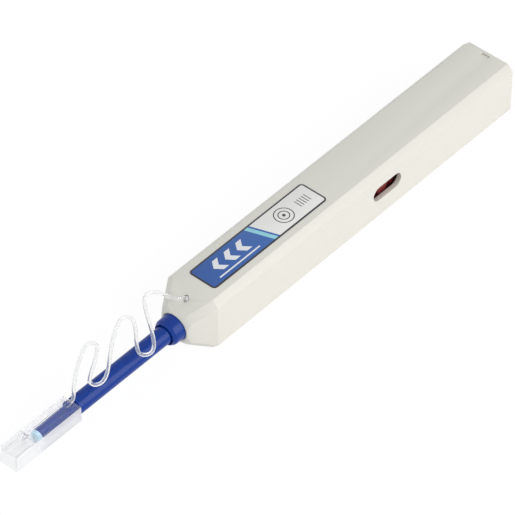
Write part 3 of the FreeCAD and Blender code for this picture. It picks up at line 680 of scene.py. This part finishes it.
@dataclass
class Housing:
    """The square shell with its pyramid nose, and the plug in its rear end."""

    shop: Workshop
    edge: float = 0.22 * MM
    plug_edge: float = 0.15 * MM
    chamfer: float = 2.1 * MM
    nose: float = 8.1 * MM
    mouth_reach: float = 7.9 * MM       # |y| + |z| of the nose's corner facets at the mouth
    window: tuple[float, float] = (station(67.0), station(81.5))
    window_reach: float = 6.0 * MM
    window_edge: float = 0.6 * MM
    right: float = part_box("housing")[0].y

    def shell(self) -> bmesh.types.BMesh:
        """The housing's mesh, with the nose's four corners cut to narrow facets."""
        mesh = self.shop.copy_of("housing")
        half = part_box("housing")[1].y
        reach = 2 * half - self.chamfer
        lean = (reach - self.mouth_reach) / self.nose
        for side, up in itertools.product((-1, 1), (-1, 1)):
            corner = (FRONT, side * (half - self.chamfer), MID.z + up * half)
            cut = bmesh.ops.bisect_plane(
                mesh, geom=mesh.verts[:] + mesh.edges[:] + mesh.faces[:], dist=0.001 * MM,
                plane_co=corner, plane_no=Vector((-lean, side, up)).normalized(), clear_outer=True)
            rim = [part for part in cut["geom_cut"] if isinstance(part, bmesh.types.BMEdge)]
            bmesh.ops.holes_fill(mesh, edges=rim, sides=0)
        bmesh.ops.remove_doubles(mesh, verts=mesh.verts, dist=0.002 * MM)
        bmesh.ops.recalc_face_normals(mesh, faces=mesh.faces)
        return mesh

    def at_window(self, place: Vector) -> bool:
        """Whether a place is on the outer rim of the window in the -Y side."""
        near = abs(place.z - MID.z) < self.window_reach and place.y < self.right + 0.01 * MM
        return near and self.window[0] < place.x < self.window[1]

    def build(self) -> None:
        """Round the moulded edges and finish the shell and its plug."""
        shell = self.shell()
        self.shop.soften(shell, self.window_edge, 60.0, 4, self.at_window)
        self.shop.soften(shell, self.edge)
        made = self.shop.piece("shell", shell, Finish.SHELL)
        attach(made, "housing")
        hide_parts("housing")
        self.shop.dress("rear_plug", Finish.SHELL, "housing", self.plug_edge)
        self.shop.stretched("return_spring", Finish.STEEL, ("housing", "carriage"))


@dataclass
class Label:
    """The laminated label on the top face."""

    shop: Workshop
    corner: float = LABEL_CORNER
    edge: float = 0.04 * MM

    def build(self) -> None:
        """Cut the rounded sheet and print it."""
        low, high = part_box("label")
        mesh = bmesh.new()
        size = high - low
        place = Matrix.Translation((low + high) / 2) @ Matrix.Diagonal((*size, 1.0))
        bmesh.ops.create_cube(mesh, size=1.0, matrix=place)
        upright = [e for e in mesh.edges if abs(e.verts[0].co.z - e.verts[1].co.z) > size.z / 2]
        bmesh.ops.bevel(mesh, geom=upright, offset=self.corner, offset_type="OFFSET", affect="EDGES",
                        segments=8, profile=0.5, material=-1)
        self.shop.soften(mesh, self.edge, 60.0, 2, lambda p: p.z > high.z - 0.01 * MM)
        made = self.shop.piece("label_sheet", mesh, Finish.LABEL)
        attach(made, "housing")
        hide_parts("label")


@dataclass
class Carriage:
    """The moving insides: the collar at the mouth, the sleeve behind it, and the plates and leaves."""

    shop: Workshop
    sleeve_radius: float = 4.35 * MM
    shoulder_radius: float = 4.15 * MM
    rim_radius: float = 3.55 * MM
    throat_radius: float = 3.25 * MM
    bore_radius: float = 2.9 * MM
    shoulder: float = 1.1 * MM
    countersink: float = 0.8 * MM
    mouth_edge: float = 0.12 * MM
    axle_edge: float = 0.08 * MM
    sleeve_front: float = station(-8.1)
    rounded_before: float = station(-8.5)
    sleeve_end: float = station(-4.0)
    thread_gives: tuple[float, float] = (station(55.0), station(-40.0))

    def build(self) -> None:
        """Turn the collar and finish the rest."""
        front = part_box("carriage")[0].x
        profile = [
            (front, self.rim_radius),
            (front + self.shoulder, self.shoulder_radius),
            (self.sleeve_front, self.sleeve_radius),
            (self.sleeve_end, self.sleeve_radius),
            (self.sleeve_end, self.bore_radius),
            (front + self.countersink, self.bore_radius),
            (front, self.throat_radius),
        ]
        collar = self.shop.turned(profile)
        self.shop.soften(collar, self.mouth_edge, 20.0, 3, lambda p: p.x < self.rounded_before)
        made = self.shop.piece("collar", collar, Finish.BLUE)
        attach(made, "carriage")
        rest = self.shop.copy_of("carriage")
        bmesh.ops.bisect_plane(rest, geom=rest.verts[:] + rest.edges[:] + rest.faces[:],
                               plane_co=(self.sleeve_end, 0, 0), plane_no=(1, 0, 0), clear_inner=True)
        plates = self.shop.piece("carriage_plates", rest, Finish.BLUE)
        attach(plates, "carriage")
        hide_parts("carriage")
        for leaf in ("takeup_pawl", "supply_brake", "nozzle_detent"):
            self.shop.dress(leaf, Finish.STEEL, "carriage")
        for axle in ("takeup_axle", "supply_axle"):
            self.shop.dress(axle, Finish.REEL, "carriage", self.axle_edge)
        self.shop.stretched("cleaning_thread", Finish.THREAD, ("carriage", "nozzle"), self.thread_gives)


@dataclass
class Reels:
    """The feed gear, and the two reels with their windings."""

    shop: Workshop
    edge: float = 0.12 * MM
    hub_radius: float = 2.32 * MM
    crown: float = 0.25 * MM            # how much fuller a winding is in its middle

    def build(self) -> None:
        """Finish the gear, the reels and the windings."""
        self.shop.dress("feed_gear", Finish.ACETAL, "gear")
        for reel in ("takeup", "supply"):
            self.shop.dress(reel + "_reel", Finish.REEL, reel, self.edge)
            self.winding(reel)

    def winding(self, reel: str) -> None:
        """Wind the thread on one reel's hub, a little fuller in the middle."""
        low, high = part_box(reel + "_winding")
        centre = (low + high) / 2
        radius, width = (high.x - low.x) / 2, high.y - low.y
        crown = [
            (low.y + width * t, radius - self.crown * abs(2 * t - 1) ** 3)
            for t in (0, 0.1, 0.25, 0.5, 0.75, 0.9, 1)
        ]
        profile = [(low.y, self.hub_radius), *crown, (high.y, self.hub_radius)]
        mesh = self.shop.turned(profile, 64, Vector((0, 1, 0)), centre)
        made = self.shop.piece(reel + "_thread", mesh, Finish.THREAD)
        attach(made, reel)
        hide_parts(reel + "_winding")


@dataclass
class Drive:
    """The cam barrel, its clip, the rod and the sprung cleaning head."""

    shop: Workshop

    def build(self) -> None:
        """Finish the drive's pieces."""
        self.shop.dress("cam_barrel", Finish.ACETAL, "cam")
        self.shop.dress("cam_clip", Finish.STEEL, "cam")
        self.shop.dress("feed_rod", Finish.ACETAL, "rod")
        self.shop.stretched("head_spring", Finish.STEEL, ("rod", "head"))
        self.shop.dress("cleaning_head", Finish.ACETAL, "head")


@dataclass
class Nozzle:
    """The long tube, its slim tip and the pale guide at the end."""

    shop: Workshop
    tube_radius: float = 2.82 * MM
    bore_radius: float = 2.0 * MM
    flange_radius: float = 3.5 * MM
    flange: float = 1.8 * MM
    tip_rear_radius: float = 1.9 * MM
    tip_front_radius: float = 1.75 * MM
    tip_bore_radius: float = 0.81 * MM
    tip_hollow_radius: float = 1.42 * MM
    tip_step: float = station(-55.3)    # where the tip's hollow narrows to its bore
    spigot_step: float = 0.05 * MM
    ferrule_radius: float = 0.66 * MM
    guide_radius: float = 1.62 * MM
    tube_edge: float = 0.25 * MM
    tip_edge: float = 0.08 * MM
    guide_edge: float = 0.35 * MM

    def build(self) -> None:
        """Turn the three pieces."""
        low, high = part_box("nozzle_tube")
        tube = self.shop.turned([
            (low.x, self.bore_radius), (low.x, self.tube_radius),
            (high.x - self.flange, self.tube_radius), (high.x - self.flange, self.flange_radius),
            (high.x, self.flange_radius), (high.x, self.bore_radius),
        ])
        self.shop.soften(tube, self.tube_edge, 28.0, 3, lambda p: p.x < low.x + 1 * MM)
        self.finish("nozzle_body", tube, Finish.BLUE, "nozzle_tube")
        front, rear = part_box("nozzle_tip")[0].x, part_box("nozzle_tip")[1].x
        tip = self.shop.turned([
            (front, self.tip_bore_radius), (front, self.tip_front_radius),
            (low.x, self.tip_rear_radius), (rear, self.tip_rear_radius + self.spigot_step),
            (rear, self.tip_hollow_radius), (self.tip_step, self.tip_hollow_radius),
            (self.tip_step, self.tip_bore_radius),
        ])
        self.shop.soften(tip, self.tip_edge, 28.0, 2, lambda p: p.x < front + 1 * MM)
        self.finish("nozzle_point", tip, Finish.BLUE, "nozzle_tip")
        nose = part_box("tip_sleeve")[0].x
        guide = self.shop.turned([
            (nose, self.ferrule_radius), (nose, self.guide_radius),
            (front, self.tip_front_radius), (front, self.ferrule_radius),
        ])
        self.shop.soften(guide, self.guide_edge, 28.0, 4, lambda p: p.x < nose + 0.1 * MM)
        self.finish("ferrule_guide", guide, Finish.GUIDE, "tip_sleeve")

    def finish(self, name: str, mesh: bmesh.types.BMesh, finish: Finish, node: str) -> None:
        """Make one piece that rides on the nozzle and replaces its solid."""
        made = self.shop.piece(name, mesh, finish)
        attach(made, "nozzle")
        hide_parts(node)


@dataclass
class GuideCap:
    """The clear cap over the tip."""

    shop: Workshop
    edge: float = 0.12 * MM

    def build(self) -> None:
        """Round the cap's edges and make it clear."""
        self.shop.dress("guide_cap", Finish.CLEAR, "cap", self.edge)


@dataclass(frozen=True)
class Stretch:
    """One length of the tether."""

    name: str
    ends_near: tuple[float, float]      # station and side where it hands over to the next length
    bodies: tuple[str, str]
    give: tuple[float, float]           # two stations along the pen


@dataclass
class Tether:
    """The clear wavy strand from the nose to the cap, in lengths that share one line."""

    shop: Workshop
    radius: float = 0.56 * MM
    # The strand's line, in millimetres from the housing's front plane, from the peg to the cap.
    route: tuple[Triple, ...] = (
        (-2.881, 0.0, 16.842), (-4.765, 0.0, 18.161), (-6.4, 1.3, 18.6), (-7.0, 3.2, 18.5),
        (-6.9, 5.4, 18.3), (-7.5, 7.4, 18.2), (-9.0, 8.6, 18.1), (-10.9, 8.5, 17.9),
        (-12.9, 6.8, 17.5), (-14.9, 4.2, 17.1), (-17.0, 1.0, 16.6), (-19.4, -2.3, 16.4),
        (-21.8, -5.0, 16.3), (-23.6, -6.3, 16.3), (-25.3, -6.5, 16.2), (-26.7, -5.6, 16.2),
        (-27.1, -4.0, 16.2), (-25.6, -1.9, 16.1), (-23.2, 0.6, 16.1), (-20.5, 3.2, 16.0),
        (-18.9, 5.3, 16.0), (-18.2, 7.0, 16.0), (-18.8, 8.5, 16.0), (-20.3, 9.0, 16.0),
        (-22.2, 8.3, 16.1), (-25.4, 6.6, 16.1), (-28.8, 4.5, 16.0), (-32.1, 2.1, 16.1),
        (-35.5, -0.5, 16.1), (-38.8, -2.8, 16.0), (-41.2, -3.8, 16.1), (-42.8, -3.8, 16.1),
        (-44.1, -2.9, 16.0), (-44.3, -1.4, 16.0), (-43.2, -0.2, 16.0), (-41.2, 1.0, 15.9),
        (-38.0, 2.8, 15.8), (-34.9, 4.8, 15.6), (-32.7, 6.5, 15.5), (-31.7, 7.9, 15.5),
        (-32.1, 9.3, 15.4), (-33.5, 9.9, 15.3), (-35.4, 9.3, 15.2), (-38.4, 7.8, 14.9),
        (-41.7, 6.0, 14.5), (-44.9, 3.8, 14.0), (-47.3, 2.0, 13.5), (-49.0, 0.4, 13.1),
        (-50.2, -0.4, 12.95), (-51.6, -0.4, 12.95),
    )
    stretches: tuple[Stretch, ...] = (
        Stretch("tether_at_nose", (-27.1, -4.0), ("housing", "carriage"), (-4.0, -26.8)),
        Stretch("tether_over_nozzle", (-44.3, -1.4), ("carriage", "nozzle"), (-27.4, -43.8)),
        Stretch("tether_at_cap", (-51.6, -0.4), ("nozzle", "cap"), (-44.6, -51.0)),
    )

    def line(self) -> list[Vector]:
        """Points along the strand's smooth line."""
        curve = bpy.data.curves.new("tether_line", "CURVE")
        curve.dimensions = "3D"
        curve.resolution_u = 6
        spline = curve.splines.new("NURBS")
        spline.points.add(len(self.route) - 1)
        for point, (x, y, z) in zip(spline.points, self.route):
            point.co = (station(x), y * MM, z * MM, 1.0)
        spline.order_u = 3
        spline.use_endpoint_u = True
        holder = bpy.data.objects.new("tether_line", curve)
        bpy.context.scene.collection.objects.link(holder)
        depsgraph = bpy.context.evaluated_depsgraph_get()
        traced = bpy.data.meshes.new_from_object(holder.evaluated_get(depsgraph))
        points = [v.co.copy() for v in traced.vertices]
        bpy.data.objects.remove(holder)
        bpy.data.meshes.remove(traced)
        return points

    def tube(self, points: list[Vector], closed: tuple[bool, bool]) -> bmesh.types.BMesh:
        """Extrude a round section along points, turning it at each.

        Args:
            points: Points of the centre line.
            closed: Whether its start and its end are closed.

        Returns:
            The tube.
        """
        mesh = bmesh.new()
        heading = (points[1] - points[0]).normalized()
        turn = Vector((0, 0, 1)).rotation_difference(heading).to_matrix().to_4x4()
        ring = bmesh.ops.create_circle(mesh, cap_ends=False, radius=self.radius, segments=16,
                                       matrix=Matrix.Translation(points[0]) @ turn)
        edges = list({e for v in ring["verts"] for e in v.link_edges})
        if closed[0]:
            bmesh.ops.contextual_create(mesh, geom=edges)
        for i in range(1, len(points)):
            grown = bmesh.ops.extrude_edge_only(mesh, edges=edges)["geom"]
            verts = [g for g in grown if isinstance(g, bmesh.types.BMVert)]
            edges = [g for g in grown if isinstance(g, bmesh.types.BMEdge)]
            onward = (points[min(i + 1, len(points) - 1)] - points[i - 1]).normalized()
            bmesh.ops.rotate(mesh, verts=verts, cent=points[i - 1],
                             matrix=heading.rotation_difference(onward).to_matrix())
            bmesh.ops.translate(mesh, verts=verts, vec=points[i] - points[i - 1])
            heading = onward
        if closed[1]:
            bmesh.ops.contextual_create(mesh, geom=edges)
        bmesh.ops.recalc_face_normals(mesh, faces=mesh.faces)
        return mesh

    def build(self) -> None:
        points = self.line()
        start = 0
        for stretch in self.stretches:
            x, y = stretch.ends_near
            place = Vector((station(x), y * MM))
            end = min(range(len(points)), key=lambda i: (points[i].xy - place).length)
            part = points[start:end + 1]
            closed = (start == 0, end == len(points) - 1)
            made = self.shop.piece(stretch.name, self.tube(part, closed), Finish.STRAND)
            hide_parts("tether")
            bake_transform(made)
            start = end
        self.shop.dress("tether_anchor", Finish.PEG, "housing")


# ---------------------------------------------------------------- surroundings


@dataclass
class Studio:
    """A white floor, soft light and the camera."""

    eye: Vector = Vector((-654.9, -541.1, 819.1)) * MM
    target: Vector = Vector((-38.06, 0.71, 9.5)) * MM
    lens: float = 280.5
    sky: float = 0.51                   # strength of the dome as a light
    floor_white: float = 1.06
    floor_shown: float = 0.86           # share of the plain white; the rest keeps the shadow
    floor_gap: float = 0.02 * MM

    def build(self) -> None:
        """Set up the floor, the world, the lamps and the camera."""
        self.floor()
        self.world()
        self.lamp("key", Vector((0.1, -1.0, 0.55)), 1.7, 1.6, 18.5, (1.0, 0.985, 0.95))
        self.lamp("fill", Vector((-0.8, 0.8, 0.5)), 1.6, 1.4, 4.5, (0.97, 0.985, 1.0))
        camera = bpy.data.objects.new("camera", bpy.data.cameras.new("camera"))
        camera.data.lens = self.lens
        camera.data.sensor_width = 36.0
        camera.data.clip_start = 0.01
        camera.data.clip_end = 20.0
        camera.location = self.eye
        camera.rotation_euler = (self.target - self.eye).to_track_quat("-Z", "Y").to_euler()
        bpy.context.scene.collection.objects.link(camera)
        bpy.context.scene.camera = camera
        bpy.context.scene.view_settings.view_transform = "Standard"

    def floor(self) -> None:
        """Lay a white floor that keeps a faint shadow."""
        mesh = bmesh.new()
        bmesh.ops.create_grid(mesh, x_segments=1, y_segments=1, size=3.0)
        data = bpy.data.meshes.new("floor")
        mesh.to_mesh(data)
        mesh.free()
        shader = Shader("white_floor")
        shader.set(Base_Color=(0.88, 0.88, 0.88), Roughness=1.0, Specular_IOR_Level=0.0)
        glow = {"Color": (1.0, 1.0, 1.0), "Strength": self.floor_white}
        white = shader.node("ShaderNodeEmission", None, glow).outputs[0]
        shader.show(shader.blended(shader.seen() * self.floor_shown, shader.surface.outputs[0], white))
        data.materials.append(shader.material)
        floor = bpy.data.objects.new("floor", data)
        bpy.context.scene.collection.objects.link(floor)
        floor.location.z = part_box("housing")[0].z - self.floor_gap

    def world(self) -> None:
        """Make the world a soft white dome that looks white where it is seen."""
        world = bpy.data.worlds.new("soft_dome")
        world.use_nodes = True
        bpy.context.scene.world = world
        nodes = NodeTree(world.node_tree)
        sockets = {0: nodes.seen(), 2: self.sky, 3: 1.0}
        strength = nodes.node("ShaderNodeMix", {"data_type": "FLOAT"}, sockets)
        back = world.node_tree.nodes["Background"]
        nodes.feed(back.inputs["Color"], (0.97, 0.985, 1.0))
        nodes.feed(back.inputs["Strength"], strength.outputs[0])

    def lamp(self, name: str, towards: Vector, distance: float, size: float, power: float,
             colour: Colour) -> None:
        """Hang a square soft lamp.

        Args:
            name: The lamp's name.
            towards: Direction from the pen to the lamp.
            distance: Distance from the pen.
            size: Side of the square.
            power: Power in watts.
            colour: Colour of its light.
        """
        light = bpy.data.lights.new(name, "AREA")
        light.shape = "SQUARE"
        light.size = size
        light.energy = power
        light.color = colour
        lamp = bpy.data.objects.new(name, light)
        lamp.location = self.target + towards.normalized() * distance
        lamp.rotation_euler = (self.target - lamp.location).to_track_quat("-Z", "Y").to_euler()
        bpy.context.scene.collection.objects.link(lamp)


def main() -> None:
    """Dress the pen, then set it in the studio."""
    logging.basicConfig(level=logging.INFO, format="%(name)s: %(message)s")
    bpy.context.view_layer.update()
    Studio().build()
    shop = Workshop(make_finishes())
    for assembly in (Tether, Housing, Label, Carriage, Reels, Drive, Nozzle, GuideCap):
        assembly(shop).build()
        LOG.info("%s done", assembly.__name__)


if __name__ == "__main__":
    main()
